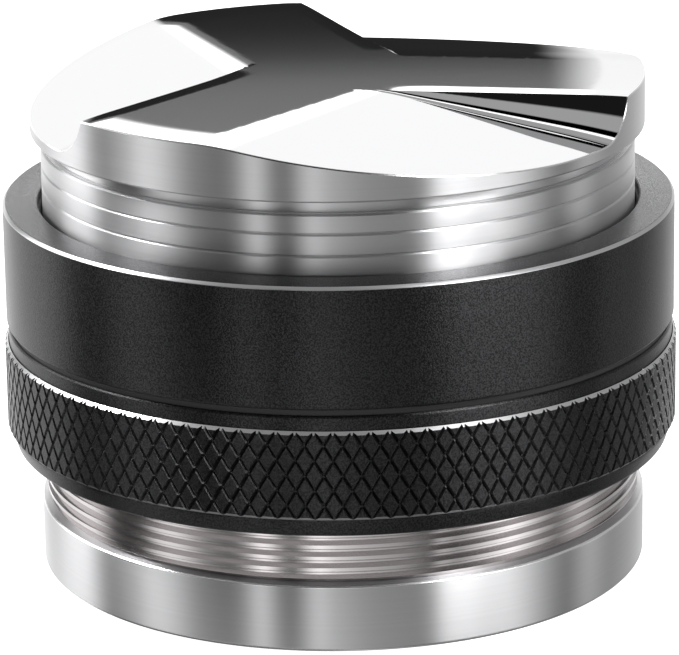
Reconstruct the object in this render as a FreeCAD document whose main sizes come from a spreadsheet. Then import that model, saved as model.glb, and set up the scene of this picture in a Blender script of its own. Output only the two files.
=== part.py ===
"""Two-ended espresso tool: a flat tamping face below, a three-blade distributing face above.

Both stainless heads are fixed to one threaded core. Two black aluminium collars run on the core's
thread, one for each end. A collar's outer face rests on the rim of the coffee basket, so screwing
it along the core sets how deep that end reaches into the basket.

Frame: +Z up, origin at the centre of the tamping face, millimetres.
"""
import FreeCAD
import Part
import Sketcher
import math
import os

DIMENSIONS = [
    ("base_radius", 26.5, "tamping disc, half of the 53 mm basket size"),
    ("base_height", 5.9, "tamping disc"),
    ("base_edge", 0.3, "chamfer on both rims of the tamping disc"),
    ("pilot_radius", 10.0, "boss on the disc that centres it in the core"),
    ("pilot_height", 2.5, "boss on the disc"),
    ("screw_circle", 15.5, "radius at which the three disc screws stand"),
    ("screw_radius", 1.98, "M4 shank"),
    ("screw_length", 8.0, "M4 screw under its head"),
    ("screw_head_radius", 3.5, "M4 socket head"),
    ("screw_head_height", 4.0, "M4 socket head"),
    ("screw_key", 3.0, "across flats"),
    ("screw_key_depth", 2.0, "depth of the key socket"),
    ("tapped_radius", 2.0, "M4 thread drawn as a plain hole"),
    ("tapped_depth", 3.5, "screw holes in the back of the disc"),
    ("clearance_hole", 2.25, "radius of the screw holes in the web"),
    ("washer_radius", 3.5, "spring washer"),
    ("washer_bore", 2.1, "spring washer"),
    ("washer_height", 1.0, "spring washer"),
    ("washer_slit", 0.8, "gap in the spring washer"),
    ("core_radius", 26.0, "crest of the M52 thread"),
    ("core_top", 30.4, "upper end of the core"),
    ("core_bore", 21.0, "M42 thread that takes the upper head"),
    ("core_edge", 0.5, "chamfer at both ends of the thread"),
    ("web_height", 4.0, "floor of the core"),
    ("thread_pitch", 1.0, "M52x1"),
    ("thread_depth", 0.5, "groove of the M52 thread"),
    ("thread_mouth", 0.38, "half the groove's width at the crest"),
    ("thread_root", 0.07, "half the groove's width at the root"),
    ("seal_circle", 23.5, "centre line of both face seals"),
    ("seal_section", 0.6, "radius of a seal's section"),
    ("seal_groove", 0.75, "half the width of a seal's groove"),
    ("running_gap", 0.05, "radial clearance of sliding and turning fits"),
    ("held_gap", 0.02, "radial clearance where a thread or press holds a part still"),
    ("lock_height", 26.2, "height of the two radial lock screws"),
    ("lock_length", 4.0, "M4 lock screw"),
    ("lock_key", 2.0, "across flats"),
    ("lock_key_depth", 2.0, "depth of the key socket"),
    ("head_top", 43.3, "flat top of the three blades"),
    ("head_radius", 26.5, "flange of the distributing head"),
    ("head_edge", 0.15, "chamfers of the flange and the skirt"),
    ("flange_bottom", 38.75, "underside of the flange"),
    ("relief_radius", 25.0, "recess under the flange"),
    ("relief_bottom", 37.6, "recess under the flange"),
    ("skirt_radius", 25.65, "plain wall that the upper collar slides over"),
    ("mark_height_upper", 35.9, "depth mark"),
    ("mark_height_lower", 34.05, "depth mark"),
    ("mark_width", 0.2, "half the width of a depth mark"),
    ("mark_depth", 0.2, "depth mark"),
    ("spigot_length", 8.0, "threaded spigot below the skirt"),
    ("hollow_radius", 15.0, "bore in the back of the head"),
    ("hollow_top", 35.9, "bore in the back of the head"),
    ("blade_half_width", 6.3, "half the width of a blade"),
    ("blade_angle", -9.0, "degrees from +X to the first blade"),
    ("ramp_slope", 10.2, "degrees that each ramp falls"),
    ("ramp_start", 1.2, "from a blade's edge to the top of its ramp"),
    ("ramp_fillet", 3.0, "radius at the foot of each step"),
    ("ramp_reach", 80.0, "cutting length, past every edge"),
    ("upper_radius", 29.1, "smooth collar"),
    ("upper_bottom", 22.0, "smooth collar"),
    ("upper_top", 32.5, "smooth collar"),
    ("upper_edge", 0.35, "chamfer at the stop face"),
    ("joint_edge", 0.2, "chamfer where the collars meet"),
    ("ring_height", 31.4, "centre of the drag ring"),
    ("ring_circle", 26.05, "centre line of the drag ring"),
    ("ring_section", 0.4, "radius of the drag ring's section"),
    ("ring_groove", 0.45, "half the width of the drag ring's groove"),
    ("ring_groove_radius", 26.5, "floor of the drag ring's groove"),
    ("knurl_radius", 29.3, "crest of the knurl"),
    ("lip_radius", 28.95, "smooth lip above the knurl"),
    ("foot_radius", 28.6, "smooth lip at the stop face"),
    ("lower_bottom", 11.0, "knurled collar"),
    ("lower_top", 21.5, "knurled collar"),
    ("knurl_bottom", 12.6, "lower end of the knurl's chamfer"),
    ("knurl_top", 20.25, "upper end of the knurl's chamfer"),
    ("knurl_edge", 0.35, "chamfer at both ends of the knurl"),
    ("insert_radius", 27.3, "nylon drag insert"),
    ("insert_height", 1.8, "nylon drag insert"),
    ("slip_radius", 28.7, "slip washer between the collars"),
    ("slip_height", 0.46, "slip washer between the collars"),
]

NUMBER = {alias: number for alias, number, note in DIMENSIONS}
SCREWS = 3
BLADES = 3

doc = FreeCAD.newDocument("espresso_tool")
sheet = doc.addObject("Spreadsheet::Sheet", "Dims")
for row, (alias, number, note) in enumerate(DIMENSIONS, 1):
    sheet.set(f"A{row}", alias)
    sheet.set(f"B{row}", str(number))
    sheet.setAlias(f"B{row}", alias)
    sheet.set(f"C{row}", note)
doc.recompute()


def amount(terms):
    """The number that a sum such as "core_top - core_edge" comes to, for a sketch's first shape."""
    total, sign = 0.0, 1.0
    for word in terms.split():
        if word in "+-":
            sign = 1.0 if word == "+" else -1.0
        else:
            factor = 1.0
            for piece in word.split("*"):
                factor *= NUMBER[piece] if piece in NUMBER else float(piece)
            total += sign * factor
    return total


def bound(terms):
    """The same sum as an expression over the sheet."""
    words = [
        "*".join(f"Dims.{piece}" if piece in NUMBER else piece for piece in word.split("*"))
        for word in terms.split()
    ]
    return " ".join(words)


def make_body(label):
    body = doc.addObject("PartDesign::Body", label)
    body.Label = label
    return body


def origin_of(body, role):
    return next(f for f in body.Origin.OriginFeatures if f.Role == role)


def new_sketch(body, name, plane="XZ_Plane", height=None):
    """A sketch on one of the body's planes, moved along the plane's normal by a sum."""
    sketch = body.newObject("Sketcher::SketchObject", name)
    sketch.AttachmentSupport = (origin_of(body, plane), [""])
    sketch.MapMode = "FlatFace"
    if height:
        sketch.setExpression(".AttachmentOffset.Base.z", bound(height))
        doc.recompute()
    return sketch


def pin(sketch, geometry, end, axis, terms):
    """Ties one coordinate of a point to the sheet."""
    number = amount(terms)
    if number == 0:
        other_axis = -2 if axis == "DistanceX" else -1
        sketch.addConstraint(Sketcher.Constraint("PointOnObject", geometry, end, other_axis))
        return
    index = sketch.addConstraint(Sketcher.Constraint(axis, -1, 1, geometry, end, number))
    name = f"{axis[-1].lower()}_{geometry}_{end}"
    sketch.renameConstraint(index, name)
    sketch.setExpression(f"Constraints.{name}", bound(terms))


def outline(sketch, corners):
    """A closed outline of straight edges through corners given as pairs of sums."""
    points = [FreeCAD.Vector(amount(x), amount(y), 0) for x, y in corners]
    count = len(points)
    for i, point in enumerate(points):
        sketch.addGeometry(Part.LineSegment(point, points[(i + 1) % count]), False)
    for i in range(count):
        sketch.addConstraint(Sketcher.Constraint("Coincident", i, 2, (i + 1) % count, 1))
    for i, (x, y) in enumerate(corners):
        pin(sketch, i, 1, "DistanceX", x)
        pin(sketch, i, 1, "DistanceY", y)
    return sketch


def circle(sketch, x, y, radius):
    centre = FreeCAD.Vector(amount(x), amount(y), 0)
    shape = Part.Circle(centre, FreeCAD.Vector(0, 0, 1), amount(radius))
    i = sketch.addGeometry(shape, False)
    pin(sketch, i, 3, "DistanceX", x)
    pin(sketch, i, 3, "DistanceY", y)
    index = sketch.addConstraint(Sketcher.Constraint("Radius", i, amount(radius)))
    sketch.renameConstraint(index, f"radius_{i}")
    sketch.setExpression(f"Constraints.radius_{i}", bound(radius))
    return sketch


def hexagon(sketch, x, y, across_flats):
    """A key socket's outline, turned so that two flats lie along the sketch's X axis."""
    reach = NUMBER[across_flats] / 2 / math.cos(math.radians(30))
    centre = FreeCAD.Vector(amount(x), amount(y), 0)
    angles = [math.radians(60 * i) for i in range(6)]
    points = [centre + FreeCAD.Vector(reach * math.cos(a), reach * math.sin(a), 0) for a in angles]
    for i, point in enumerate(points):
        sketch.addGeometry(Part.LineSegment(point, points[(i + 1) % 6]), False)
    guide = sketch.addGeometry(Part.Circle(centre, FreeCAD.Vector(0, 0, 1), reach), True)
    for i in range(6):
        sketch.addConstraint(Sketcher.Constraint("Coincident", i, 2, (i + 1) % 6, 1))
        sketch.addConstraint(Sketcher.Constraint("PointOnObject", i, 1, guide))
    for i in range(1, 6):
        sketch.addConstraint(Sketcher.Constraint("Equal", 0, i))
    sketch.addConstraint(Sketcher.Constraint("Horizontal", 1))
    pin(sketch, guide, 3, "DistanceX", x)
    pin(sketch, guide, 3, "DistanceY", y)
    index = sketch.addConstraint(Sketcher.Constraint("Radius", guide, reach))
    sketch.renameConstraint(index, "reach")
    sketch.setExpression("Constraints.reach", f"{bound(across_flats)} / 2 / cos(30 deg)")
    return sketch


def finish_cut(body, feature, before):
    doc.recompute()
    if body.Shape.Volume > before - 1e-3:
        raise RuntimeError(f"{body.Label}: {feature.Label} cuts nothing")
    return feature


def turned(body, name, sketch, cut=False):
    """A solid, or a cut, of revolution about Z."""
    before = body.Shape.Volume if cut else 0
    feature = body.newObject("PartDesign::Groove" if cut else "PartDesign::Revolution", name)
    feature.Profile = sketch
    feature.ReferenceAxis = (sketch, ["V_Axis"])
    feature.Angle = 360
    if cut:
        return finish_cut(body, feature, before)
    doc.recompute()
    return feature


def padded(body, name, sketch, length):
    feature = body.newObject("PartDesign::Pad", name)
    feature.Profile = sketch
    feature.setExpression("Length", bound(length))
    doc.recompute()
    return feature


def pocketed(body, name, sketch, depth, reverse=False, both=False):
    before = body.Shape.Volume
    feature = body.newObject("PartDesign::Pocket", name)
    feature.Profile = sketch
    feature.setExpression("Length", bound(depth))
    feature.Reversed = reverse
    feature.Midplane = both
    return finish_cut(body, feature, before)


def repeated(body, name, features, count):
    """Repeats features evenly about Z."""
    pattern = body.newObject("PartDesign::PolarPattern", name)
    pattern.Originals = features
    pattern.Axis = (origin_of(body, "Z_Axis"), [""])
    pattern.Angle = 360
    pattern.Occurrences = count
    body.Tip = pattern
    doc.recompute()
    return pattern


def ring(label, radius, section, height):
    """An O-ring about Z."""
    seal = doc.addObject("Part::Torus", label)
    seal.Label = label
    seal.setExpression("Radius1", bound(radius))
    seal.setExpression("Radius2", bound(section))
    seal.setExpression("Placement.Base.z", bound(height))
    doc.recompute()
    return seal


def make_tamper_base():
    """Flat stainless disc that presses the coffee, with a centring boss on its back."""
    body = make_body("tamper_base")
    turned(body, "disc", outline(new_sketch(body, "disc_section"), [
        ("0", "0"),
        ("base_radius - base_edge", "0"),
        ("base_radius", "base_edge"),
        ("base_radius", "base_height - base_edge"),
        ("base_radius - base_edge", "base_height"),
        ("pilot_radius", "base_height"),
        ("pilot_radius", "base_height + pilot_height"),
        ("0", "base_height + pilot_height"),
    ]))
    plan = new_sketch(body, "tapped_hole_plan", "XY_Plane", "base_height")
    circle(plan, "screw_circle", "0", "tapped_radius")
    hole = pocketed(body, "tapped_hole", plan, "tapped_depth")
    repeated(body, "tapped_holes", [hole], SCREWS)
    return body


def make_threaded_core():
    """Hub that the heads are fixed to and the collars run on, with a web across its lower end."""
    body = make_body("threaded_core")
    turned(body, "hub", outline(new_sketch(body, "hub_section"), [
        ("pilot_radius + running_gap", "base_height"),
        ("core_radius - core_edge", "base_height"),
        ("core_radius", "base_height + core_edge"),
        ("core_radius", "core_top - core_edge"),
        ("core_radius - core_edge", "core_top"),
        ("core_bore", "core_top"),
        ("core_bore", "base_height + web_height"),
        ("pilot_radius + running_gap", "base_height + web_height"),
    ]))
    for name, face, floor in (
        ("lower_seal_groove", "base_height", "base_height + 2*seal_section"),
        ("upper_seal_groove", "core_top", "core_top - 2*seal_section"),
    ):
        turned(body, name, outline(new_sketch(body, f"{name}_section"), [
            ("seal_circle - seal_groove", face),
            ("seal_circle + seal_groove", face),
            ("seal_circle + seal_groove", floor),
            ("seal_circle - seal_groove", floor),
        ]), cut=True)
    plan = new_sketch(body, "screw_hole_plan", "XY_Plane")
    circle(plan, "screw_circle", "0", "clearance_hole")
    hole = pocketed(body, "screw_hole", plan, "base_height + web_height", reverse=True)
    repeated(body, "screw_holes", [hole], SCREWS)
    across = new_sketch(body, "lock_holes_side", "YZ_Plane")
    circle(across, "0", "lock_height", "tapped_radius")
    pocketed(body, "lock_holes", across, "4*core_radius", both=True)
    cut_thread(body)
    return body


def cut_thread(body):
    """Helical groove of the M52 thread, run out past both ends of the core."""
    before = body.Shape.Volume
    section = outline(new_sketch(body, "thread_section"), [
        ("core_radius + running_gap", "base_height - thread_pitch - thread_mouth"),
        ("core_radius + running_gap", "base_height - thread_pitch + thread_mouth"),
        ("core_radius - thread_depth", "base_height - thread_pitch + thread_root"),
        ("core_radius - thread_depth", "base_height - thread_pitch - thread_root"),
    ])
    thread = body.newObject("PartDesign::SubtractiveHelix", "thread")
    thread.Profile = section
    thread.ReferenceAxis = (section, ["V_Axis"])
    thread.Mode = "pitch-height-angle"
    thread.setExpression("Pitch", "Dims.thread_pitch")
    thread.setExpression("Height", bound("core_top - base_height + 2*thread_pitch"))
    finish_cut(body, thread, before)


def make_distributor_head():
    """Stainless head with three blades, a ramp falling from each blade to the step of the next."""
    body = make_body("distributor_head")
    turned(body, "blank", outline(new_sketch(body, "blank_section"), [
        ("0", "hollow_top"),
        ("hollow_radius", "hollow_top"),
        ("hollow_radius", "core_top - spigot_length"),
        ("core_bore - held_gap", "core_top - spigot_length"),
        ("core_bore - held_gap", "core_top"),
        ("skirt_radius", "core_top"),
        ("skirt_radius", "relief_bottom - head_edge"),
        ("skirt_radius - head_edge", "relief_bottom"),
        ("relief_radius", "relief_bottom"),
        ("relief_radius", "flange_bottom"),
        ("head_radius - head_edge", "flange_bottom"),
        ("head_radius", "flange_bottom + head_edge"),
        ("head_radius", "head_top"),
        ("0", "head_top"),
    ]))
    for name in ("mark_height_upper", "mark_height_lower"):
        turned(body, f"{name}_groove", outline(new_sketch(body, f"{name}_section"), [
            ("skirt_radius + 1", f"{name} - mark_width"),
            ("skirt_radius + 1", f"{name} + mark_width"),
            ("skirt_radius", f"{name} + mark_width"),
            ("skirt_radius - mark_depth", name),
            ("skirt_radius", f"{name} - mark_width"),
        ]), cut=True)
    ramp = pocketed(body, "ramp", ramp_section(body), "2*ramp_reach", both=True)
    repeated(body, "ramps", [ramp], BLADES)
    body.Placement = FreeCAD.Placement(
        FreeCAD.Vector(), FreeCAD.Rotation(FreeCAD.Vector(0, 0, 1), NUMBER["blade_angle"])
    )
    body.setExpression(".Placement.Rotation.Angle", "Dims.blade_angle * 1 deg")
    doc.recompute()
    return body


def ramp_section(body):
    """Section of one ramp with the step at its end, for a blade that lies along X.

    The ramp falls at right angles to the blade before it, so it meets the upright step along a
    line that dips towards +X. The sketch stands square to that line, and one straight cut makes
    the ramp, the fillet at its foot and the step.
    """
    fall = math.tan(math.radians(NUMBER["ramp_slope"]))
    half_width = NUMBER["blade_half_width"]
    dip = math.atan(fall * math.cos(math.radians(30)))
    dip_terms = "atan(tan(Dims.ramp_slope * 1 deg) * cos(30 deg))"
    side = math.atan(fall * 0.5 * math.cos(dip))
    side_terms = f"atan(tan(Dims.ramp_slope * 1 deg) * 0.5 * cos({dip_terms}))"
    foot = NUMBER["head_top"] + fall * (half_width / 2 + NUMBER["ramp_start"])
    foot_terms = (
        "Dims.head_top + tan(Dims.ramp_slope * 1 deg)"
        " * (Dims.blade_half_width / 2 + Dims.ramp_start)"
    )

    sketch = body.newObject("Sketcher::SketchObject", "ramp_section")
    sketch.AttachmentSupport = (origin_of(body, "YZ_Plane"), [""])
    sketch.MapMode = "FlatFace"
    sketch.AttachmentOffset = FreeCAD.Placement(
        FreeCAD.Vector(0, foot, 0), FreeCAD.Rotation(FreeCAD.Vector(1, 0, 0), math.degrees(dip))
    )
    sketch.setExpression(".AttachmentOffset.Base.y", foot_terms)
    sketch.setExpression(".AttachmentOffset.Rotation.Angle", dip_terms)
    doc.recompute()

    radius, reach = NUMBER["ramp_fillet"], NUMBER["ramp_reach"]
    tangent = radius * math.tan((math.pi / 2 - side) / 2)
    wall_x = -half_width
    step_foot = FreeCAD.Vector(wall_x, tangent, 0)
    ramp_foot = FreeCAD.Vector(wall_x - tangent * math.cos(side), -tangent * math.sin(side), 0)
    far = FreeCAD.Vector(-reach, (-reach - wall_x) * math.tan(side), 0)
    top_far = FreeCAD.Vector(-reach, reach, 0)
    top_wall = FreeCAD.Vector(wall_x, reach, 0)
    middle = FreeCAD.Vector(wall_x - radius, tangent, 0)
    fillet = Part.Circle(middle, FreeCAD.Vector(0, 0, 1), radius)
    sketch.addGeometry(Part.LineSegment(far, ramp_foot), False)
    sketch.addGeometry(Part.ArcOfCircle(fillet, side - math.pi / 2, 0), False)
    sketch.addGeometry(Part.LineSegment(step_foot, top_wall), False)
    sketch.addGeometry(Part.LineSegment(top_wall, top_far), False)
    sketch.addGeometry(Part.LineSegment(top_far, far), False)
    corner = sketch.addGeometry(Part.Point(FreeCAD.Vector(wall_x, 0, 0)), True)

    sketch.addConstraint(Sketcher.Constraint("Tangent", 0, 2, 1, 1))
    sketch.addConstraint(Sketcher.Constraint("Tangent", 1, 2, 2, 1))
    for first, second in ((2, 3), (3, 4), (4, 0)):
        sketch.addConstraint(Sketcher.Constraint("Coincident", first, 2, second, 1))
    sketch.addConstraint(Sketcher.Constraint("Vertical", 2))
    sketch.addConstraint(Sketcher.Constraint("PointOnObject", corner, 1, 0))
    sketch.addConstraint(Sketcher.Constraint("PointOnObject", corner, 1, -1))
    sketch.addConstraint(Sketcher.Constraint("PointOnObject", corner, 1, 2))
    pin(sketch, corner, 1, "DistanceX", "0 - blade_half_width")
    pin(sketch, 3, 1, "DistanceY", "ramp_reach")
    pin(sketch, 4, 1, "DistanceX", "0 - ramp_reach")
    pin(sketch, 4, 1, "DistanceY", "ramp_reach")
    sketch.addConstraint(Sketcher.Constraint("Vertical", 4))
    index = sketch.addConstraint(Sketcher.Constraint("Radius", 1, radius))
    sketch.renameConstraint(index, "fillet")
    sketch.setExpression("Constraints.fillet", "Dims.ramp_fillet")
    index = sketch.addConstraint(Sketcher.Constraint("Angle", 0, side))
    sketch.renameConstraint(index, "side")
    sketch.setExpression("Constraints.side", side_terms)
    return sketch


def make_base_screws():
    """Three socket-head screws standing in the web, heads up."""
    body = make_body("base_screws")
    under_head = "base_height + web_height + washer_height"
    shank = new_sketch(body, "shank_plan", "XY_Plane", f"{under_head} - screw_length")
    circle(shank, "screw_circle", "0", "screw_radius")
    head = new_sketch(body, "head_plan", "XY_Plane", under_head)
    circle(head, "screw_circle", "0", "screw_head_radius")
    key = new_sketch(body, "key_plan", "XY_Plane", f"{under_head} + screw_head_height")
    hexagon(key, "screw_circle", "0", "screw_key")
    features = [
        padded(body, "shank", shank, "screw_length"),
        padded(body, "head", head, "screw_head_height"),
        pocketed(body, "key_socket", key, "screw_key_depth"),
    ]
    repeated(body, "screws", features, SCREWS)
    return body


def make_spring_washers():
    """Three split washers under the screw heads."""
    body = make_body("spring_washers")
    plan = new_sketch(body, "washer_plan", "XY_Plane", "base_height + web_height")
    circle(plan, "screw_circle", "0", "washer_radius")
    circle(plan, "screw_circle", "0", "washer_bore")
    slit = new_sketch(body, "slit_plan", "XY_Plane", "base_height + web_height")
    outline(slit, [
        ("screw_circle", "0 - 0.5*washer_slit"),
        ("screw_circle + 2*washer_radius", "0 - 0.5*washer_slit"),
        ("screw_circle + 2*washer_radius", "0.5*washer_slit"),
        ("screw_circle", "0.5*washer_slit"),
    ])
    features = [
        padded(body, "washer", plan, "washer_height"),
        pocketed(body, "slit", slit, "washer_height", reverse=True),
    ]
    repeated(body, "washers", features, SCREWS)
    return body


def make_lock_screws():
    """Two radial grub screws in the core's wall, tips on the head's spigot."""
    body = make_body("lock_screws")
    side = new_sketch(body, "grub_side", "YZ_Plane", "core_bore")
    circle(side, "0", "lock_height", "screw_radius")
    key = new_sketch(body, "grub_key_side", "YZ_Plane", "core_bore + lock_length")
    hexagon(key, "0", "lock_height", "lock_key")
    features = [
        padded(body, "grub", side, "lock_length"),
        pocketed(body, "grub_key", key, "lock_key_depth"),
    ]
    repeated(body, "grubs", features, 2)
    return body


def make_upper_collar():
    """Smooth black collar that sets the depth of the distributing head."""
    body = make_body("upper_collar")
    turned(body, "collar", outline(new_sketch(body, "collar_section"), [
        ("core_radius + running_gap", "upper_bottom"),
        ("upper_radius - joint_edge", "upper_bottom"),
        ("upper_radius", "upper_bottom + joint_edge"),
        ("upper_radius", "upper_top - upper_edge"),
        ("upper_radius - upper_edge", "upper_top"),
        ("core_radius + running_gap", "upper_top"),
        ("core_radius + running_gap", "ring_height + ring_groove"),
        ("ring_groove_radius", "ring_height + ring_groove"),
        ("ring_groove_radius", "ring_height - ring_groove"),
        ("core_radius + running_gap", "ring_height - ring_groove"),
    ]))
    return body


def make_knurled_collar():
    """Knurled black collar that sets the depth of the tamping face."""
    body = make_body("knurled_collar")
    turned(body, "collar", outline(new_sketch(body, "collar_section"), [
        ("core_radius + running_gap", "lower_bottom"),
        ("foot_radius - joint_edge", "lower_bottom"),
        ("foot_radius", "lower_bottom + joint_edge"),
        ("lip_radius", "knurl_bottom"),
        ("knurl_radius", "knurl_bottom + knurl_edge"),
        ("knurl_radius", "knurl_top - knurl_edge"),
        ("lip_radius", "knurl_top"),
        ("lip_radius", "lower_top - joint_edge"),
        ("lip_radius - joint_edge", "lower_top"),
        ("insert_radius", "lower_top"),
        ("insert_radius", "lower_top - insert_height"),
        ("core_radius + running_gap", "lower_top - insert_height"),
    ]))
    return body


def make_drag_insert():
    """Nylon ring in the knurled collar's counterbore that grips the thread."""
    body = make_body("drag_insert")
    turned(body, "insert", outline(new_sketch(body, "insert_section"), [
        ("core_radius + held_gap", "lower_top - insert_height"),
        ("insert_radius - held_gap", "lower_top - insert_height"),
        ("insert_radius - held_gap", "lower_top - running_gap"),
        ("core_radius + held_gap", "lower_top - running_gap"),
    ]))
    return body


def make_slip_washer():
    """Thin washer lying on the knurled collar, under the smooth one."""
    body = make_body("slip_washer")
    turned(body, "washer", outline(new_sketch(body, "washer_section"), [
        ("core_radius + 2*running_gap", "lower_top"),
        ("slip_radius", "lower_top"),
        ("slip_radius", "lower_top + slip_height"),
        ("core_radius + 2*running_gap", "lower_top + slip_height"),
    ]))
    return body


parts = [
    make_tamper_base(),
    make_threaded_core(),
    make_distributor_head(),
    make_base_screws(),
    make_spring_washers(),
    make_lock_screws(),
    make_upper_collar(),
    make_knurled_collar(),
    make_drag_insert(),
    make_slip_washer(),
    ring("base_seal", "seal_circle", "seal_section", "base_height + seal_section"),
    ring("head_seal", "seal_circle", "seal_section", "core_top - seal_section"),
    ring("drag_ring", "ring_circle", "ring_section", "ring_height"),
]
doc.recompute()

for item in doc.Objects:
    if "Invalid" in item.State or "Error" in item.State:
        raise RuntimeError(f"{item.Label} did not compute: {item.State}")

os.makedirs("parts", exist_ok=True)
for part in parts:
    if part.Shape.isNull() or not part.Shape.isValid():
        raise RuntimeError(f"{part.Label} has no valid shape")
    part.Shape.exportStep(f"parts/{part.Label}.step")
    print(part.Label, len(part.Shape.Solids), round(part.Shape.Volume, 1))
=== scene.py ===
import math

import bmesh
import bpy
import numpy as np
from mathutils import Matrix, Vector, geometry


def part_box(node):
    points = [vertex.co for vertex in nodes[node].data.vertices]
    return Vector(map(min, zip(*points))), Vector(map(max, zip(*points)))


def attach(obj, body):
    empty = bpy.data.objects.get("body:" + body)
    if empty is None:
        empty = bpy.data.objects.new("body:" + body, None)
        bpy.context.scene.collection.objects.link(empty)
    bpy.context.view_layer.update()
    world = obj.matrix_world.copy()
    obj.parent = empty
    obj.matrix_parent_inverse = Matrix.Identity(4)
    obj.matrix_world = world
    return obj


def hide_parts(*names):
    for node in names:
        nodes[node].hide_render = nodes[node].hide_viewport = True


MM = 0.001
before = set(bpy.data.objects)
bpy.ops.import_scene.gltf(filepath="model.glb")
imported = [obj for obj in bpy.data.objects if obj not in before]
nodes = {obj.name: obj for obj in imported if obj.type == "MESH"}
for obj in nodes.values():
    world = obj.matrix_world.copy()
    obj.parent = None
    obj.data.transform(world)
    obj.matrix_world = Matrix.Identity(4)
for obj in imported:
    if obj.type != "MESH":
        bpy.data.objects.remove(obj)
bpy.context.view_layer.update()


# ---------------------------------------------------------------- shader helpers

QUARTER_TURN = 0.25               # of the tangent, from around the axis to across it
LATHE_RELIEF, GRAIN_RELIEF = 0.00002, 0.00003
# scales of noise
BLASTED_GRAIN, MOULDED_GRAIN, COAT_PATCHES = 7500.0, 900.0, 90.0
FINE_MARKS, POLISHING_MARKS = 2600.0, 900.0


def node(tree, kind, **settings):
    made = tree.nodes.new(kind)
    for key, setting in settings.items():
        setattr(made, key, setting)
    return made


def math_node(tree, operation, a, b=0.0):
    made = node(tree, "ShaderNodeMath", operation=operation)
    for socket, term in zip(made.inputs, (a, b)):
        if isinstance(term, (int, float)):
            socket.default_value = term
        else:
            tree.links.new(term, socket)
    return made.outputs[0]


def ramp_node(tree, factor, stops):
    """A colour ramp. Each stop is its place, 0 to 1, and a colour or a grey."""
    made = node(tree, "ShaderNodeValToRGB")
    ramp = made.color_ramp
    while len(ramp.elements) < len(stops):
        ramp.elements.new(0.5)
    for element, (place, color) in zip(ramp.elements, stops):
        element.position = place
        if isinstance(color, (int, float)):
            color = (color, color, color)
        element.color = (*color, 1.0)
    tree.links.new(factor, made.inputs["Fac"])
    return made.outputs["Color"]


def new_material(name):
    material = bpy.data.materials.new(name)
    material.use_nodes = True
    tree = material.node_tree
    shader = tree.nodes["Principled BSDF"]
    return material, tree, shader


def object_coordinates(tree):
    return node(tree, "ShaderNodeTexCoord").outputs["Object"]


def noise(tree, vector, scale, detail, roughness):
    """A 0..1 noise; scale is in features per metre."""
    made = node(tree, "ShaderNodeTexNoise")
    made.inputs["Scale"].default_value = scale
    made.inputs["Detail"].default_value = detail
    made.inputs["Roughness"].default_value = roughness
    tree.links.new(vector, made.inputs["Vector"])
    return made.outputs["Fac"]


def spread(tree, factor, low, high):
    """Maps a 0..1 factor to low..high."""
    made = node(tree, "ShaderNodeMapRange")
    made.inputs["To Min"].default_value = low
    made.inputs["To Max"].default_value = high
    tree.links.new(factor, made.inputs["Value"])
    return made.outputs["Result"]


def bump(tree, height, strength, distance, shader):
    made = node(tree, "ShaderNodeBump")
    made.inputs["Strength"].default_value = strength
    made.inputs["Distance"].default_value = distance
    tree.links.new(height, made.inputs["Height"])
    tree.links.new(made.outputs["Normal"], shader.inputs["Normal"])


def turned_rings(tree, scale):
    """Noise that varies along Z and the radius but not around the axis, as lathe marks do."""
    parts = node(tree, "ShaderNodeSeparateXYZ")
    tree.links.new(object_coordinates(tree), parts.inputs[0])
    square = math_node(
        tree, "ADD",
        math_node(tree, "MULTIPLY", parts.outputs["X"], parts.outputs["X"]),
        math_node(tree, "MULTIPLY", parts.outputs["Y"], parts.outputs["Y"]),
    )
    radius = math_node(tree, "SQRT", square)
    joined = node(tree, "ShaderNodeCombineXYZ")
    tree.links.new(radius, joined.inputs["X"])
    tree.links.new(parts.outputs["Z"], joined.inputs["Z"])
    return noise(tree, joined.outputs[0], scale, 4.0, 0.6)


def stretch_highlights(tree, shader, anisotropy):
    """Draws highlights out as fine marks around the axis do."""
    shader.inputs["Anisotropic"].default_value = anisotropy
    shader.inputs["Anisotropic Rotation"].default_value = QUARTER_TURN
    tangent = node(tree, "ShaderNodeTangent", direction_type="RADIAL", axis="Z")
    tree.links.new(tangent.outputs[0], shader.inputs["Tangent"])


def steel(name, color, roughness, anisotropy, ring_scale, ring_bump):
    """Turned or polished steel, with lathe marks of the given scale and strength."""
    material, tree, shader = new_material(name)
    shader.inputs["Metallic"].default_value = 1.0
    if anisotropy:
        stretch_highlights(tree, shader, anisotropy)
    rings = turned_rings(tree, ring_scale)
    # on a polished face the marks must not show as rings of another colour
    dim = 1 - min(0.07, 0.5 * ring_bump)
    tint = ramp_node(tree, rings, [(0.3, tuple(dim * c for c in color)), (0.7, color)])
    tree.links.new(tint, shader.inputs["Base Color"])
    tree.links.new(spread(tree, rings, roughness * 0.9, roughness * 1.1), shader.inputs["Roughness"])
    bump(tree, rings, ring_bump, LATHE_RELIEF, shader)
    return material


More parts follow.
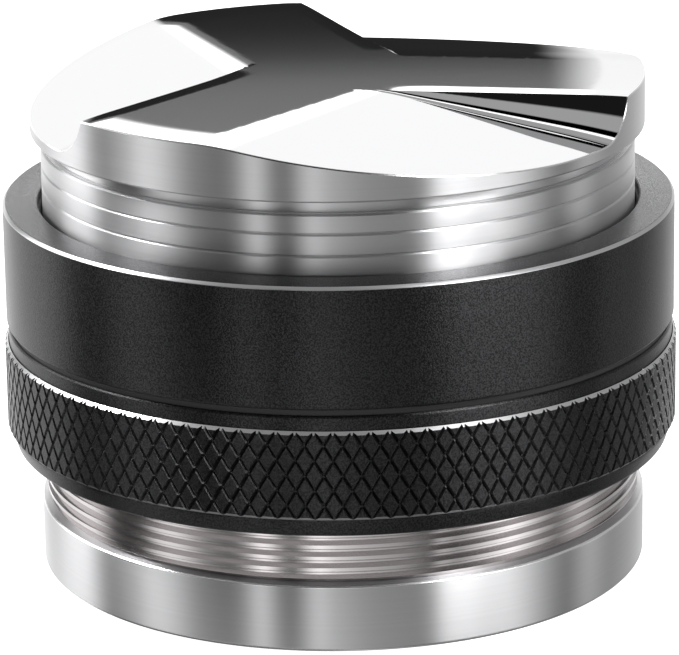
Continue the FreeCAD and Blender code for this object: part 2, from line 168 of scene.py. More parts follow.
def black_coat(name, dark, light, roughness):
    """Bead-blasted and anodised aluminium: fine facets that each mirror a little more or less."""
    material, tree, shader = new_material(name)
    shader.inputs["Metallic"].default_value = 1.0
    stretch_highlights(tree, shader, 0.95)
    shader.inputs["Sheen Weight"].default_value = 0.08
    shader.inputs["Sheen Roughness"].default_value = 0.3
    vector = object_coordinates(tree)
    fine = noise(tree, vector, BLASTED_GRAIN, 1.0, 0.6)
    coarse = noise(tree, vector, COAT_PATCHES, 2.0, 0.5)
    tint = ramp_node(tree, fine, [(0.38, dark), (0.62, (light, light, 1.05 * light))])
    tree.links.new(tint, shader.inputs["Base Color"])
    mixed = math_node(tree, "ADD", math_node(tree, "MULTIPLY", fine, 0.6),
                      math_node(tree, "MULTIPLY", coarse, 0.4))
    tree.links.new(spread(tree, mixed, roughness * 0.8, roughness * 1.2), shader.inputs["Roughness"])
    bump(tree, fine, 0.6, GRAIN_RELIEF, shader)
    return material


def plain(name, color, roughness, metallic=0.0):
    """Rubber, plastic or steel that hardly shows, with a fine moulded or rolled grain."""
    material, tree, shader = new_material(name)
    shader.inputs["Metallic"].default_value = metallic
    fine = noise(tree, object_coordinates(tree), MOULDED_GRAIN, 3.0, 0.6)
    tint = ramp_node(tree, fine, [(0.3, tuple(0.8 * c for c in color)), (0.7, color)])
    tree.links.new(tint, shader.inputs["Base Color"])
    tree.links.new(spread(tree, fine, roughness * 0.85, roughness * 1.15), shader.inputs["Roughness"])
    bump(tree, fine, 0.15, GRAIN_RELIEF, shader)
    return material


# ---------------------------------------------------------------- mesh helpers

ROUNDING_STEPS, LATHE_SEGMENTS = 3, 480


def mesh_object(name, points, faces, materials, slots, sharp_from):
    """An object from points in mm; edges over sharp_from degrees are sharp, if that is given."""
    mesh = bpy.data.meshes.new(name)
    mesh.from_pydata([tuple(p * MM for p in point) for point in points], [], faces)
    for material in materials:
        mesh.materials.append(material)
    mesh.polygons.foreach_set("material_index", slots)
    mesh.polygons.foreach_set("use_smooth", [True] * len(mesh.polygons))
    mesh.update()
    if sharp_from is not None:
        mesh.set_sharp_from_angle(angle=math.radians(sharp_from))
    obj = bpy.data.objects.new(name, mesh)
    bpy.context.scene.collection.objects.link(obj)
    return obj


def rounded(corners):
    """Rounds the corners of a profile. Each corner is (r, z, rounding, slot)."""
    count = len(corners)
    out = []
    for i, (r, z, rounding, slot) in enumerate(corners):
        if not rounding:
            out.append((r, z, slot))
            continue
        here = Vector((r, z))
        before = Vector(corners[i - 1][:2]) - here
        after = Vector(corners[(i + 1) % count][:2]) - here
        start = here + before.normalized() * min(rounding, before.length * 0.45)
        end = here + after.normalized() * min(rounding, after.length * 0.45)
        for step in range(ROUNDING_STEPS + 1):
            share = step / ROUNDING_STEPS
            point = (1 - share) ** 2 * start + 2 * share * (1 - share) * here + share**2 * end
            out.append((point.x, point.y, slot))
    return out


def lathe(profile, angles):
    """Points, quads and slots of a closed profile turned about Z; profile is (r, z, slot) rows."""
    rows, count = len(profile), len(angles)
    cosines, sines = np.cos(angles), np.sin(angles)
    points = []
    for r, z, _ in profile:
        points += [(r * c, r * s, z) for c, s in zip(cosines, sines)]
    faces, slots = [], []
    for i in range(rows):
        j = (i + 1) % rows
        for k in range(count):
            m = (k + 1) % count
            faces.append((i * count + k, i * count + m, j * count + m, j * count + k))
            slots.append(profile[i][2])
    return points, faces, slots


def turned_object(name, corners, materials):
    angles = np.arange(LATHE_SEGMENTS) * 2 * math.pi / LATHE_SEGMENTS
    points, faces, slots = lathe(rounded(corners), angles)
    return mesh_object(name, points, faces, materials, slots, sharp_from=30.0)


# ---------------------------------------------------------------- materials

# colour, roughness, anisotropy, then the scale and the strength of the lathe marks
mirror_steel = steel("mirror_steel", (0.80, 0.80, 0.81), 0.035, 0.0, POLISHING_MARKS, 0.01)
turned_steel = steel("turned_steel", (0.66, 0.66, 0.67), 0.34, 1.0, FINE_MARKS, 0.25)
edge_steel = steel("edge_steel", (0.92, 0.92, 0.92), 0.22, 0.6, FINE_MARKS, 0.1)
thread_steel = steel("thread_steel", (0.66, 0.63, 0.63), 0.18, 0.4, FINE_MARKS, 0.1)
anodised_edge = steel("bright_cut_edge", (0.62, 0.62, 0.63), 0.3, 0.5, FINE_MARKS, 0.1)
# the darkest and lightest facets, roughness
anodised = black_coat("anodised_black", 0.022, 0.055, 0.33)
# the top face takes the same coat painted lighter: painted light, standing in for the light that falls on
# the top
painted_lit_coat_top = black_coat("anodised_black_painted_lit_top", 0.06, 0.17, 0.20)
hidden_steel = plain("screw_steel", (0.45, 0.45, 0.46), 0.35, metallic=1.0)
rubber = plain("black_rubber", (0.012, 0.012, 0.012), 0.55)
acetal = plain("black_acetal", (0.006, 0.006, 0.006), 0.5)
nylon = plain("natural_nylon", (0.62, 0.60, 0.55), 0.4)


# ---------------------------------------------------------------- distributor head

HEAD_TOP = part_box("distributor_head")[1].z / MM
HEAD_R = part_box("distributor_head")[1].x / MM
HALF = 6.3                        # half the width of a blade
FIRST = math.radians(-9.0)        # azimuth of the first blade
FALL = math.tan(math.radians(10.2))
RUN_IN = 1.2                      # from a blade's edge to where the ramp's plane meets the top
BLEND = 2.0                       # half the length over which the blade rolls into the ramp
FILLET_GROWTH = 0.17              # the fillet at the foot of a step widens from the hub to the rim
EDGE_ROLL, EDGE_FALL = 1.6, 0.06  # polishing rounds the blade over towards its step
CROWN_R, CROWN = 22.6, 0.0055     # the face falls away a little near the rim
RIM_BEVEL = 0.12
FACE_R = HEAD_R - RIM_BEVEL
FILLET_MIN, FILLET_MAX = 0.6, 5.0
ROLL_START, ROLL_GROWTH = 5.0, 4.0        # along a blade: where the rounding starts and grows
STEP_START, STEP_END = -4.0, 25.9         # along a blade: where its step is looked for

FLANGE_LOW, SKIRT_TOP = 38.75, 37.62      # between them is the relief groove
SKIRT_LOW, SPIGOT_LOW, HOLLOW_TOP = 30.4, 22.4, 35.9
SKIRT_R, RELIEF_R, SPIGOT_R, HOLLOW_R = 25.65, 25.0, 20.98, 15.0
HEAD_CHAMFER = 0.18
MARK_HEIGHTS, MARK_DEPTH = (35.9, 34.05), 0.14    # the two V-grooves around the skirt

RIM_SEGMENTS = 720
GRID = 0.55                               # spacing of the face's points away from the steps
ROWS_ALONG = np.arange(-3.6, 26.4, 0.6)   # and along them
FILLET_ANGLES = np.radians([86, 82, 76, 70, 63, 56, 48, 40, 32, 24, 16, 8, 0])
BLADE_ROWS = (0.2, 0.5, 0.85, 1.25, 1.65)         # distances in from a step


def blade_axes(k):
    a = FIRST + k * 2 * math.pi / 3
    return np.array([math.cos(a), math.sin(a)]), np.array([-math.sin(a), math.cos(a)])


def ramp_depth(past_edge):
    """How far a ramp lies below the top, at a distance past its blade's edge."""
    e = past_edge - RUN_IN
    rolled = FALL * (e + BLEND) ** 2 / (4 * BLEND)
    return np.where(e <= -BLEND, 0.0, np.where(e >= BLEND, FALL * e, rolled))


def ramp_fall(past_edge):
    e = past_edge - RUN_IN
    return np.where(e <= -BLEND, 0.0, np.where(e >= BLEND, FALL, FALL * (e + BLEND) / (2 * BLEND)))


def fillet_radius(along):
    return np.clip(FILLET_GROWTH * along, FILLET_MIN, FILLET_MAX)


def fillet_rise(d, radius):
    """Height of the fillet above the ramp at a distance from the step."""
    d = np.clip(d, 0, radius)
    return radius - np.sqrt(2 * radius * d - d * d)


def fillet_slopes(d, radius):
    """How that height changes with the distance from the step, and with the radius."""
    near = np.clip(d, 1e-6, radius)
    root = np.sqrt(2 * radius * near - near * near)
    inside = d < radius
    return np.where(inside, -(radius - near) / root, 0.0), np.where(inside, 1 - near / root, 0.0)


def edge_roll(inside, along):
    """How far the blade's top falls at a distance in from its step edge, and the slope there."""
    share = np.clip(1 - np.maximum(inside, 0) / EDGE_ROLL, 0, 1)
    grown = np.clip((along - ROLL_START) / ROLL_GROWTH, 0, 1)
    return EDGE_FALL * share**2 * grown, -2 * EDGE_FALL * share / EDGE_ROLL * grown


def blade_roll(points):
    """The same for whole points: the fall, and its gradient in plan."""
    fall, gradient = np.zeros(len(points)), np.zeros((len(points), 2))
    for k in range(3):
        along, across = blade_axes(k)
        drop, slope = edge_roll(HALF + points @ across, points @ along)
        here = np.abs(points @ across) <= HALF + 1.0
        fall += np.where(here, drop, 0.0)
        gradient += np.where(here, slope, 0.0)[:, None] * across
    return fall, gradient


def crown(r):
    return np.where(r > CROWN_R, CROWN * (r - CROWN_R) ** 2, 0.0)


def crown_slope(r):
    return np.where(r > CROWN_R, 2 * CROWN * (r - CROWN_R), 0.0)


def sector(k):
    """Blade k's flush edge and the step of the blade after it: (along, across) and (along, across)."""
    return blade_axes(k), blade_axes((k + 1) % 3)


def face_level(points, k):
    """Depth below the top of ramp k, its fillet included, before it is cut by the top."""
    (_, across), (step_along, step_across) = sector(k)
    past_edge = points @ across - HALF
    from_step = -(points @ step_across) - HALF
    return ramp_depth(past_edge) - fillet_rise(from_step, fillet_radius(points @ step_along))


def region(points):
    """Which ramp each point lies on, or -1 for the flat of the blades."""
    found = np.full(len(points), -1)
    for k in range(3):
        (_, across), (_, step_across) = sector(k)
        past_edge = points @ across - HALF
        from_step = -(points @ step_across) - HALF
        inside = (past_edge > RUN_IN - BLEND) & (from_step > 0) & (face_level(points, k) > 1e-5)
        found[inside] = k
    return found


def step_edge(k):
    """Points along the sharp upper edge of the step that ends ramp k, from the hub to the rim."""
    _, (step_along, step_across) = sector(k)

    def depth(foot, distance):
        return float(face_level((foot - step_across * distance)[None, :], k)[0])

    out = []
    for t in np.linspace(STEP_START, STEP_END, 150):
        foot = step_along * t - step_across * HALF
        low, high = 0.0, float(fillet_radius(t))
        if depth(foot, high) <= 1e-4:
            continue
        for _ in range(40):
            middle = (low + high) / 2
            if depth(foot, middle) > 0:
                high = middle
            else:
                low = middle
        point = foot - step_across * high
        if np.hypot(*point) >= FACE_R:
            break
        out.append(point)
    return out


def radii(points):
    return np.hypot(points[:, 0], points[:, 1])


def rim_angles(edge_lines):
    """Angles of the points around the face, and of those where the step edges run out to it."""
    ends = []
    for line in edge_lines:
        last, before = line[-1], line[-2]
        direction = (last - before) / np.hypot(*(last - before))
        b = last @ direction
        reach = -b + math.sqrt(b * b - (last @ last - FACE_R * FACE_R))
        end = last + direction * reach
        ends.append(math.atan2(end[1], end[0]) % (2 * math.pi))
    even = np.arange(RIM_SEGMENTS) * 2 * math.pi / RIM_SEGMENTS
    for end in ends:
        apart = np.abs((even - end + math.pi) % (2 * math.pi) - math.pi)
        even = even[apart > 0.004]
    return sorted([*even, *ends]), ends


def fillet_points():
    """Rows of points on the fillets, close together where those are steep."""
    out = []
    for k in range(3):
        _, (step_along, step_across) = sector(k)
        for phi in FILLET_ANGLES:
            for t in ROWS_ALONG:
                d = float(fillet_radius(t)) * (1 - math.sin(phi))
                out.append(step_along * t - step_across * (HALF + d))
    out = np.array(out)
    return out[(radii(out) < FACE_R - 0.15) & (region(out) >= 0)]


def grid_points():
    """A staggered grid over the face, left open along the steps."""
    rows = np.arange(-FACE_R, FACE_R, GRID)
    out = np.array([(x + (i % 2) * GRID / 2, y) for i, y in enumerate(rows) for x in rows])
    out = out[radii(out) < FACE_R - 0.25]
    for k in range(3):
        _, (step_along, step_across) = sector(k)
        from_step = -(out @ step_across) - HALF
        along = out @ step_along
        reach = fillet_radius(along) + 0.25
        out = out[~((from_step > -1.7) & (from_step < reach) & (along > STEP_START))]
    return out


def blade_points():
    """Rows of points on the blades, beside their steps."""
    out = []
    for k in range(3):
        _, (step_along, step_across) = sector(k)
        for t in ROWS_ALONG:
            for inside in BLADE_ROWS:
                out.append(step_along * t - step_across * (HALF - inside))
    out = np.array(out)
    return out[(radii(out) < FACE_R - 0.2) & (region(out) < 0)]


def head_face():
    """The three-blade face in plan, as points and triangles whose edges follow the steps."""
    edge_lines = [step_edge(k) for k in range(3)]
    angles, ends = rim_angles(edge_lines)
    points = [(FACE_R * math.cos(a), FACE_R * math.sin(a)) for a in angles]
    count = len(points)
    edges = [(i, (i + 1) % count) for i in range(count)]
    for line, end in zip(edge_lines, ends):
        first = len(points)
        points += [tuple(p) for p in line]
        edges += [(first + i, first + i + 1) for i in range(len(line) - 1)]
        edges.append((first + len(line) - 1, angles.index(end)))
    for more in (fillet_points(), grid_points(), blade_points()):
        points += [tuple(p) for p in more]
    flat, _, triangles, *_ = geometry.delaunay_2d_cdt([Vector(p) for p in points], edges, [], 1, 1e-6)
    return np.array([tuple(p) for p in flat]), [tuple(t) for t in triangles]


def face_heights(flat, triangles, which):
    """Height of each point of the face; which says on what ramp each triangle lies."""
    level, _ = blade_roll(flat)
    touched = np.full(len(flat), -1)
    for t, k in zip(triangles, which):
        for v in t:
            touched[v] = max(touched[v], k)
    for k in range(3):
        mine = touched == k
        level[mine] = np.maximum(face_level(flat[mine], k), level[mine])
    return HEAD_TOP - level - crown(radii(flat))


def head_profile():
    """The head from its edge down and in to the axis, as (r, z, slot) rows."""
    marks = [
        corner for z in MARK_HEIGHTS for corner in (
            (SKIRT_R, z + MARK_DEPTH, 0.015, 1),
            (SKIRT_R - MARK_DEPTH, z, 0.015, 1),
            (SKIRT_R, z - MARK_DEPTH, 0.015, 1),
        )
    ]
    return rounded([
        (HEAD_R, FLANGE_LOW + HEAD_CHAMFER, 0, 2),
        (HEAD_R - HEAD_CHAMFER, FLANGE_LOW, 0.03, 1),
        (RELIEF_R, FLANGE_LOW, 0.1, 1),
        (RELIEF_R, SKIRT_TOP, 0.1, 1),
        (SKIRT_R - HEAD_CHAMFER, SKIRT_TOP, 0.04, 2),
        (SKIRT_R, SKIRT_TOP - HEAD_CHAMFER, 0.04, 1),
        *marks,
        (SKIRT_R, SKIRT_LOW, 0.05, 1),
        (SPIGOT_R, SKIRT_LOW, 0.05, 1),
        (SPIGOT_R, SPIGOT_LOW, 0.2, 1),
        (HOLLOW_R, SPIGOT_LOW, 0.2, 1),
        (HOLLOW_R, HOLLOW_TOP, 0.2, 1),
        (0.0, HOLLOW_TOP, 0, 1),
    ])


def build_head():
    flat, triangles = head_face()
    which = region(np.array([flat[list(t)].mean(0) for t in triangles]))
    height = face_heights(flat, triangles, which)

    on_rim = list(np.flatnonzero(radii(flat) > FACE_R - 1e-3))
    on_rim.sort(key=lambda i: math.atan2(flat[i][1], flat[i][0]))
    angles = [math.atan2(flat[i][1], flat[i][0]) for i in on_rim]
    count = len(angles)
    points = [(x, y, z) for (x, y), z in zip(flat, height)]
    faces, slots = list(triangles), [0] * len(triangles)

    def add_ring(above, r, heights, slot):
        """A ring of points at radius r, joined to the one above it."""
        first = len(points)
        points.extend((r * math.cos(a), r * math.sin(a), z) for a, z in zip(angles, heights))
        for i in range(count):
            j = (i + 1) % count
            faces.append((above[i], first + i, first + j, above[j]))
            slots.append(slot)
        return [first + i for i in range(count)]

    last = on_rim
    for share in (0.35, 1.0):
        turned = share * math.pi / 2
        last = add_ring(last, FACE_R + RIM_BEVEL * math.sin(turned),
                        height[on_rim] - RIM_BEVEL * (1 - math.cos(turned)), 2)
    last = add_ring(last, HEAD_R, [FLANGE_LOW + HEAD_CHAMFER] * count, 1)
    for r, z, slot in head_profile()[1:-1]:
        last = add_ring(last, r, [z] * count, slot)
    middle = len(points)
    points.append((0.0, 0.0, HOLLOW_TOP))
    for i in range(count):
        faces.append((last[i], middle, last[(i + 1) % count]))
        slots.append(1)

    obj = mesh_object("distributor_head_detail", points, faces,
                      [mirror_steel, turned_steel, edge_steel], slots, sharp_from=25.0)
    give_face_normals(obj.data, flat, which)
    return obj


def give_face_normals(mesh, flat, which):
    """Exact normals on the mirror face, so that its reflections don't show the triangles."""
    normals = np.array([tuple(n.vector) for n in mesh.corner_normals])
    radius = radii(flat)
    outward = flat / np.maximum(radius, 1e-6)[:, None]
    lean = -outward * crown_slope(radius)[:, None]
    gradients = {-1: lean - blade_roll(flat)[1]}
    for k in range(3):
        (_, across), (step_along, step_across) = sector(k)
        past_edge = flat @ across - HALF
        from_step = -(flat @ step_across) - HALF
        outward_slope, growth_slope = fillet_slopes(from_step, fillet_radius(flat @ step_along))
        gradients[k] = (
            lean - across * ramp_fall(past_edge)[:, None]
            - step_across * outward_slope[:, None]
            + step_along * (FILLET_GROWTH * growth_slope)[:, None]
        )
    # the face's triangles are the mesh's first polygons
    for polygon, ramp in zip(mesh.polygons, which):
        for loop in polygon.loop_indices:
            x, y = gradients[ramp][mesh.loops[loop].vertex_index]
            n = np.array([-x, -y, 1.0])
            normals[loop] = n / np.linalg.norm(n)
    mesh.normals_split_custom_set([tuple(n) for n in normals])


head = build_head()
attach(head, "fixed_tool")
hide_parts("distributor_head")

# ---------------------------------------------------------------- tamping disc

BASE_TOP, BOSS_R, BOSS_TOP = 5.9, 10.0, 8.4
BASE_CHAMFER, TOP_CHAMFER = 0.3, 0.16
AXIS_R = 0.001                    # a profile that closes on the axis stops this far from it

base_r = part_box("tamper_base")[1].x / MM
base = turned_object("tamper_base_detail", [
    (AXIS_R, 0.0, 0, 1),
    (base_r - BASE_CHAMFER, 0.0, 0.05, 2),
    (base_r, BASE_CHAMFER, 0.08, 1),
    (base_r, BASE_TOP - TOP_CHAMFER, 0.04, 2),
    (base_r - TOP_CHAMFER, BASE_TOP, 0.04, 1),
    (BOSS_R, BASE_TOP, 0.05, 1),
    (BOSS_R, BOSS_TOP, 0.2, 1),
    (AXIS_R, BOSS_TOP, 0, 1),
], [mirror_steel, turned_steel, edge_steel])
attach(base, "fixed_tool")
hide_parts("tamper_base")

# ---------------------------------------------------------------- collars

COLLAR_BORE = 26.05
RING_GROOVE_R, RING_GROOVE_LOW, RING_GROOVE_TOP = 26.5, 30.95, 31.85
INSERT_R, INSERT_HEIGHT = 27.3, 1.8

upper_low, upper_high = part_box("upper_collar")
upper_r, upper_z0, upper_z1 = upper_high.x / MM, upper_low.z / MM, upper_high.z / MM
upper = turned_object("upper_collar_detail", [
    (COLLAR_BORE, upper_z0, 0.1, 0),
    (upper_r - 0.2, upper_z0, 0.05, 0),
    (upper_r, upper_z0 + 0.2, 0.1, 0),
    (upper_r, upper_z1 - 0.25, 0.03, 2),
    # slot 1, the top face, takes the coat painted lighter: painted light on the top
    (upper_r - 0.25, upper_z1, 0.03, 1),
    (COLLAR_BORE + 0.12, upper_z1, 0.04, 1),
    (COLLAR_BORE, upper_z1 - 0.12, 0.04, 0),
    (COLLAR_BORE, RING_GROOVE_TOP, 0, 0),
    (RING_GROOVE_R, RING_GROOVE_TOP, 0, 0),
    (RING_GROOVE_R, RING_GROOVE_LOW, 0, 0),
    (COLLAR_BORE, RING_GROOVE_LOW, 0, 0),
], [anodised, painted_lit_coat_top, anodised_edge])
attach(upper, "upper_collar_turn")
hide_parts("upper_collar")


KNURL_R, LIP_R, FOOT_R = 29.3, 28.95, 28.6
KNURL_Z0, KNURL_Z1 = 12.6, 20.25
KNURL_STARTS = 118
KNURL_LEAN = math.tan(math.radians(31))
GROOVE_HALF, GROOVE_DEPTH = 0.19, 0.2
EDGE_DROP = 0.27                  # the knurl's ends are turned down this far, at 45 degrees
FOOT_STEPS = 3                    # divisions of the plain wall in one pitch of the knurl


def knurl_tile():
    """One pitch of the knurl, unrolled: x along the circumference, y up, z outward."""
    pitch = 2 * math.pi * KNURL_R / KNURL_STARTS
    share = GROOVE_HALF / pitch
    steps = [0.0, share, 0.5, 1 - share]
    bm = bmesh.new()
    reach = int(math.ceil((KNURL_Z1 - KNURL_Z0) * KNURL_LEAN / pitch)) + 2
    lines = [i + s for i in range(-reach, reach + 2) for s in steps]
    corners = {}

    def corner(p, q):
        # p and q count the two families of grooves; both are 0 at the tile's lower left corner
        key = (round(p, 6), round(q, 6))
        if key not in corners:
            x = (p + q) / 2 * pitch
            y = (q - p) / 2 * pitch / KNURL_LEAN + KNURL_Z0
            in_groove = min(abs(p - round(p)), abs(q - round(q))) < 1e-6
            corners[key] = bm.verts.new((x, y, -GROOVE_DEPTH if in_groove else 0.0))
        return corners[key]

    for p0, p1 in zip(lines, lines[1:]):
        for q0, q1 in zip(lines, lines[1:]):
            x = (p0 + q0) / 2 * pitch
            y = (q0 - p0) / 2 * pitch / KNURL_LEAN + KNURL_Z0
            if -pitch < x < 2 * pitch and KNURL_Z0 - 2 * pitch < y < KNURL_Z1 + 2 * pitch:
                bm.faces.new((corner(p0, q0), corner(p1, q0), corner(p1, q1), corner(p0, q1)))
    bmesh.ops.triangulate(bm, faces=bm.faces[:])
    bmesh.ops.recalc_face_normals(bm, faces=bm.faces[:])

    def cut(point, normal):
        return bmesh.ops.bisect_plane(
            bm, geom=bm.verts[:] + bm.edges[:] + bm.faces[:], dist=1e-6,
            plane_co=point, plane_no=normal, clear_outer=True,
        )["geom_cut"]

    cut((0, 0, 0), (-1, 0, 0))
    cut((pitch, 0, 0), (1, 0, 0))
    # sign is -1 at the lower end and 1 at the upper one
    bounds = [(end, end - sign * EDGE_DROP, sign) for end, sign in ((KNURL_Z0, -1), (KNURL_Z1, 1))]
    for _, near, sign in bounds:
        cut((0, near, 0), (0, sign, 1))
    for end, near, sign in bounds:
        rim = [v for v in bm.verts if abs((v.co.y - near) * sign + v.co.z) < 1e-5
               and abs(v.co.y - end) <= EDGE_DROP + 1e-5]
        rim = [v for v in rim if any(e.is_boundary for e in v.link_edges)]
        rim.sort(key=lambda v: v.co.x)
        feet = [bm.verts.new((pitch * i / FOOT_STEPS, end, -EDGE_DROP)) for i in range(FOOT_STEPS + 1)]
        loop = rim + feet[::-1]
        made = bm.faces.new(loop if sign < 0 else loop[::-1])
        made.material_index = 2
    bmesh.ops.triangulate(bm, faces=[f for f in bm.faces if len(f.verts) > 3])
    bmesh.ops.remove_doubles(bm, verts=bm.verts[:], dist=1e-5)
    bm.verts.index_update()
    points = [tuple(v.co) for v in bm.verts]
    faces = [tuple(v.index for v in f.verts) for f in bm.faces]
    slots = [f.material_index for f in bm.faces]
    bm.free()
    return points, faces, slots, pitch


def build_knurled_collar():
    tile, tile_faces, tile_slots, pitch = knurl_tile()
    points, faces, slots = [], [], []
    for n in range(KNURL_STARTS):
        first = len(points)
        for x, y, z in tile:
            a = (x + n * pitch) / KNURL_R
            r = KNURL_R + z
            points.append((r * math.cos(a), r * math.sin(a), y))
        faces += [tuple(first + v for v in f) for f in tile_faces]
        slots += tile_slots
    z0, z1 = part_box("knurled_collar")[0].z / MM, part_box("knurled_collar")[1].z / MM
    # the wall beside the knurl is left out: the profile is closed by the knurl itself
    open_profile = rounded([
        (LIP_R, KNURL_Z1, 0, 0),
        (LIP_R, z1 - 0.15, 0.08, 0),
        (LIP_R - 0.15, z1, 0.05, 0),
        (INSERT_R, z1, 0, 0),
        (INSERT_R, z1 - INSERT_HEIGHT, 0, 0),
        (COLLAR_BORE, z1 - INSERT_HEIGHT, 0, 0),
        (COLLAR_BORE, z0 + 0.1, 0, 0),
        (COLLAR_BORE + 0.1, z0, 0, 0),
        (FOOT_R - 0.2, z0, 0.05, 0),
        (FOOT_R, z0 + 0.2, 0.1, 0),
        (LIP_R, KNURL_Z0 - 0.25, 0.25, 0),
        (LIP_R, KNURL_Z0, 0, 0),
    ])
    segments = KNURL_STARTS * FOOT_STEPS
    angles = np.arange(segments) * 2 * math.pi / segments
    smooth_points, smooth_faces, smooth_slots = lathe(open_profile, angles)
    keep = (len(open_profile) - 1) * segments
    first = len(points)
    points += smooth_points
    faces += [tuple(first + v for v in f[::-1]) for f in smooth_faces[:keep]]
    slots += smooth_slots[:keep]
    obj = mesh_object("knurled_collar_detail", points, faces,
                      [anodised, painted_lit_coat_top, anodised_edge], slots, sharp_from=None)
    # the tiles and the plain wall meet point to point, so their doubles are merged
    bm = bmesh.new()
    bm.from_mesh(obj.data)
    bmesh.ops.remove_doubles(bm, verts=bm.verts[:], dist=2e-6)
    bmesh.ops.recalc_face_normals(bm, faces=bm.faces[:])
    bm.to_mesh(obj.data)
    bm.free()
    obj.data.set_sharp_from_angle(angle=math.radians(20))
    return obj


knurled = build_knurled_collar()
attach(knurled, "knurled_collar_turn")
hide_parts("knurled_collar")

# ---------------------------------------------------------------- carried-over nodes

CAD_FINISH = {
    "threaded_core": thread_steel,
    "base_screws": hidden_steel,
    "spring_washers": hidden_steel,
    "lock_screws": hidden_steel,
    "slip_washer": acetal,
    "drag_insert": nylon,
    "drag_ring": rubber,
    "base_seal": rubber,
    "head_seal": rubber,
}
for name, material in CAD_FINISH.items():
    mesh = nodes[name].data
    mesh.materials.clear()
    mesh.materials.append(material)

# ---------------------------------------------------------------- floor, light and camera

FLOOR_REACH, FLOOR_Z = 3.0, -0.00005

floor_mesh = bpy.data.meshes.new("floor")
corners = ((-1, -1), (1, -1), (1, 1), (-1, 1))
floor_mesh.from_pydata([(x * FLOOR_REACH, y * FLOOR_REACH, FLOOR_Z) for x, y in corners], [], [(0, 1, 2, 3)])
floor = bpy.data.objects.new("floor", floor_mesh)
bpy.context.scene.collection.objects.link(floor)
floor_material, tree, shader = new_material("pale_floor")
shader.inputs["Base Color"].default_value = (0.9, 0.9, 0.9, 1)
shader.inputs["Roughness"].default_value = 0.9
shader.inputs["Emission Color"].default_value = (1, 1, 1, 1)
shader.inputs["Emission Strength"].default_value = 0.9
floor_mesh.materials.append(floor_material)
floor.visible_glossy = False

# Studio surround: brightness by azimuth (0 is towards the camera, 90 to the right) in three bands of
# elevation. LOW_BAND is below about -31 degrees, MIDDLE_BAND from there to about 9, HIGH_BAND above it.
# Most values of MIDDLE_BAND, and some of the other two, are not set by hand: a separate least-squares
# program worked them out from the photo's brightness on the disc, flange, skirt and upper collar.
LOW_BAND = [
    (-180, 0.3), (-150, 0.1), (-110, 0.1), (-98, 0.6), (-90, 1.5), (-80, 0.6), (-5, 0.6), (2, 0.6),
    (16, 0.45), (32, 0.5), (40, 0.05), (70, 0.05), (80, 0.26), (90, 0.4), (101, 0.1), (145, 0.1),
    (180, 0.55),
]
MIDDLE_BAND = [
    (-180, 2.26), (-165, 1.65), (-150, 1.11), (-135, 1.06), (-122, 1.31), (-112, 1.3), (-102, 0.05),
    (-84, 0.05), (-76, 1.05), (-68, 1.17), (-56, 0.34), (-44, 0.12), (-38, 0.32), (-31, 1.9),
    (-24, 0.23), (-18, 0.05), (-10, 1.8), (-4, 1.0), (8, 0.62), (22, 0.43), (34, 0.05), (37, 0.8),
    (44, 0.3), (58, 1.07), (68, 1.74), (80, 0.73), (92, 0.16), (104, 0.86), (118, 0.36), (136, 0.5),
    (160, 0.9), (180, 0.7),
]
HIGH_BAND = [
    (-180, 0.3), (-135, 0.2), (-131, 3.6), (-109, 3.6), (-105, 0.4), (-60, 0.1), (0, 0.06), (34, 0.1),
    (36, 4.2), (64, 4.2), (67, 0.3), (90, 0.4), (110, 0.4), (180, 0.5),
]
BAND_SCALE = 4.5                  # a ramp holds 0 to 1, so brightness is divided by this
# From the horizon behind the tool (0) over the top (90) to the horizon in front (180).
ARCH = [
    (0, 1.17), (33, 1.17), (37, 0.4), (61, 0.4), (64, 1.6), (69, 1.6), (71, 0.0), (84, 0.0), (87, 0.4),
    (118, 0.4), (123, 0.01), (180, 0.01),
]
# Elevation behind the tool: a white sheet, and a dark card in front of its middle.
SHEET = [(0, 0.98), (12, 1.06), (17, 1.14), (30, 1.17), (90, 1.17)]
CARD = [(0, 0.02), (13.65, 0.02), (13.95, 0.18), (15.2, 0.23), (15.9, 1.6), (18, 2.6), (90, 2.6)]
OVERHEAD = 0.9                    # brightness overhead on both sides of the arch

# The limits between which one part of the surround gives way to another, in degrees.
MIDDLE_ABOVE, HIGH_ABOVE = (-34.0, -29.0), (6.0, 12.0)
SHEET_ABOVE, SHEET_EDGE = (-20.0, -14.0), (14.0, 22.0)
CARD_LEFT, CARD_RIGHT = (-6.5, -5.0), (2.8, 3.8)
ARCH_ABOVE_FRONT, ARCH_ABOVE_BACK = (13.0, 17.0), (30.0, 34.0)
OVERHEAD_ABOVE = (45.0, 60.0)
# The same for parts of a direction's unit vector: x at the arch's edge, and y where the front half begins.
ARCH_EDGE, FRONT_HALF = (0.45, 0.65), (0.1, -0.1)


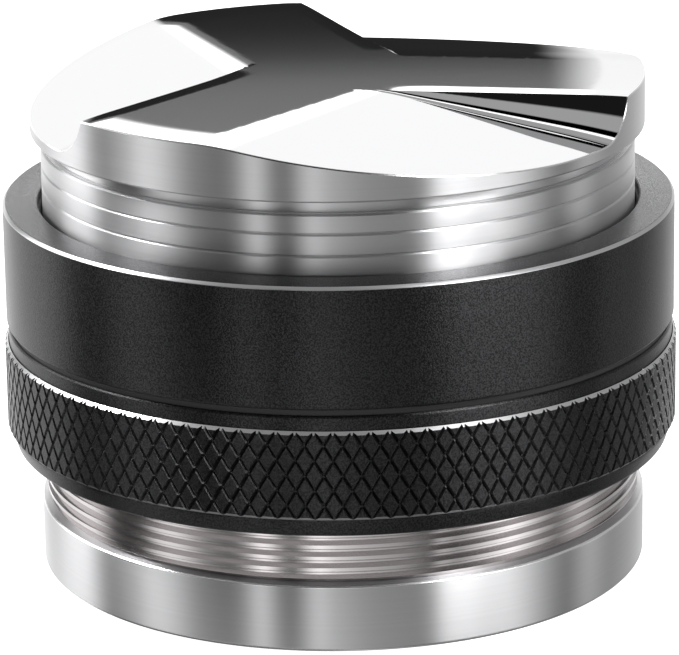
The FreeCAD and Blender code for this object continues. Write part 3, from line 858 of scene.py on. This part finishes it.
def build_world():
    world = bpy.data.worlds.new("studio")
    bpy.context.scene.world = world
    world.use_nodes = True
    tree = world.node_tree
    tree.nodes.clear()
    coordinates = node(tree, "ShaderNodeTexCoord")
    parts = node(tree, "ShaderNodeSeparateXYZ")
    tree.links.new(coordinates.outputs["Generated"], parts.inputs[0])
    x, y, z = parts.outputs

    def degrees(angle):
        return math_node(tree, "DIVIDE", angle, math.pi / 180)

    def product(a, b):
        return math_node(tree, "MULTIPLY", a, b)

    def outside(share):
        return math_node(tree, "SUBTRACT", 1.0, share)

    def step(source, limits):
        made = node(tree, "ShaderNodeMapRange", interpolation_type="SMOOTHSTEP")
        made.inputs["From Min"].default_value, made.inputs["From Max"].default_value = limits
        tree.links.new(source, made.inputs["Value"])
        return made.outputs["Result"]

    def brightness(share, stops, start, span):
        """Brightness at a share of the span of degrees that the stops cover from start."""
        return ramp_node(tree, share, [((a - start) / span, v / BAND_SCALE) for a, v in stops])

    def mix(factor, a, b):
        made = node(tree, "ShaderNodeMix", data_type="RGBA")
        tree.links.new(factor, made.inputs[0])
        for socket, term in ((made.inputs[6], a), (made.inputs[7], b)):
            if isinstance(term, (int, float)):
                socket.default_value = (term, term, term, 1)
            else:
                tree.links.new(term, socket)
        return made.outputs[2]

    # all round: the three bands
    azimuth = math_node(tree, "ARCTAN2", x, product(y, -1.0))
    turn = math_node(tree, "ADD", math_node(tree, "DIVIDE", azimuth, 2 * math.pi), 0.5)
    elevation = degrees(math_node(tree, "ARCSINE", z))
    low, middle, high = (brightness(turn, band, -180, 360) for band in (LOW_BAND, MIDDLE_BAND, HIGH_BAND))
    color = mix(step(elevation, MIDDLE_ABOVE), low, middle)
    color = mix(step(elevation, HIGH_ABOVE), color, high)

    # behind the tool: the sheet, with the card in front of it
    degrees_off = degrees(math_node(tree, "ARCTAN2", x, y))
    share = math_node(tree, "DIVIDE", elevation, 90.0)
    card_here = product(step(degrees_off, CARD_LEFT), outside(step(degrees_off, CARD_RIGHT)))
    behind = mix(card_here, brightness(share, SHEET, 0, 90), brightness(share, CARD, 0, 90))
    wide = outside(step(math_node(tree, "ABSOLUTE", degrees_off), SHEET_EDGE))
    color = mix(product(wide, step(elevation, SHEET_ABOVE)), color, behind)

    # over the top: the arch, and plain light on both sides of it
    over = math_node(tree, "DIVIDE", math_node(tree, "ARCTAN2", z, y), math.pi)
    slim = outside(step(math_node(tree, "ABSOLUTE", x), ARCH_EDGE))
    in_front = step(y, FRONT_HALF)
    arch_here = math_node(tree, "ADD", product(in_front, step(elevation, ARCH_ABOVE_FRONT)),
                          product(outside(in_front), step(elevation, ARCH_ABOVE_BACK)))
    color = mix(product(slim, arch_here), color, brightness(over, ARCH, 0, 180))
    color = mix(product(outside(slim), step(elevation, OVERHEAD_ABOVE)), color, OVERHEAD / BAND_SCALE)

    background = node(tree, "ShaderNodeBackground")
    background.inputs["Strength"].default_value = BAND_SCALE
    tree.links.new(color, background.inputs["Color"])
    output = node(tree, "ShaderNodeOutputWorld")
    tree.links.new(background.outputs[0], output.inputs["Surface"])


build_world()


def soft_sun(name, azimuth, elevation, strength, size):
    """A distant soft lamp; azimuth 0 is behind the tool and 90 to its right."""
    lamp = bpy.data.lights.new(name, "SUN")
    lamp.energy = strength
    lamp.angle = math.radians(size)
    obj = bpy.data.objects.new(name, lamp)
    bpy.context.scene.collection.objects.link(obj)
    a, e = math.radians(azimuth), math.radians(elevation)
    towards = Vector((math.sin(a) * math.cos(e), math.cos(a) * math.cos(e), math.sin(e)))
    obj.rotation_mode = "QUATERNION"
    obj.rotation_quaternion = towards.to_track_quat("Z", "Y")


soft_sun("front_right_lamp", 130.0, 45.0, 1.2, 16.0)
soft_sun("left_lamp", -75.0, 45.0, 1.2, 16.0)

# The camera looks down at the tool from the front, with a slight roll.
DISTANCE, TARGET_Z, LENS = 0.38174, 0.020, 231.1
ELEVATION, PITCH = math.radians(17.29), math.radians(17.28)
YAW, ROLL = math.radians(-0.014), math.radians(-0.90)
place = Vector((0, -DISTANCE * math.cos(ELEVATION), DISTANCE * math.sin(ELEVATION) + TARGET_Z))
looking = Vector((math.sin(YAW) * math.cos(PITCH), math.cos(YAW) * math.cos(PITCH), -math.sin(PITCH)))
level = looking.cross(Vector((0, 0, 1))).normalized()
upright = level.cross(looking)
right = level * math.cos(ROLL) + upright * math.sin(ROLL)
up = -level * math.sin(ROLL) + upright * math.cos(ROLL)
camera_data = bpy.data.cameras.new("camera")
camera_data.sensor_fit = "HORIZONTAL"
camera_data.sensor_width = 36.0
camera_data.lens = LENS
camera_data.clip_start = 0.01
camera = bpy.data.objects.new("camera", camera_data)
bpy.context.scene.collection.objects.link(camera)
turn = Matrix((right, up, -looking)).transposed().to_4x4()
camera.matrix_world = Matrix.Translation(place) @ turn
bpy.context.scene.camera = camera
bpy.context.scene.view_settings.view_transform = "Standard"
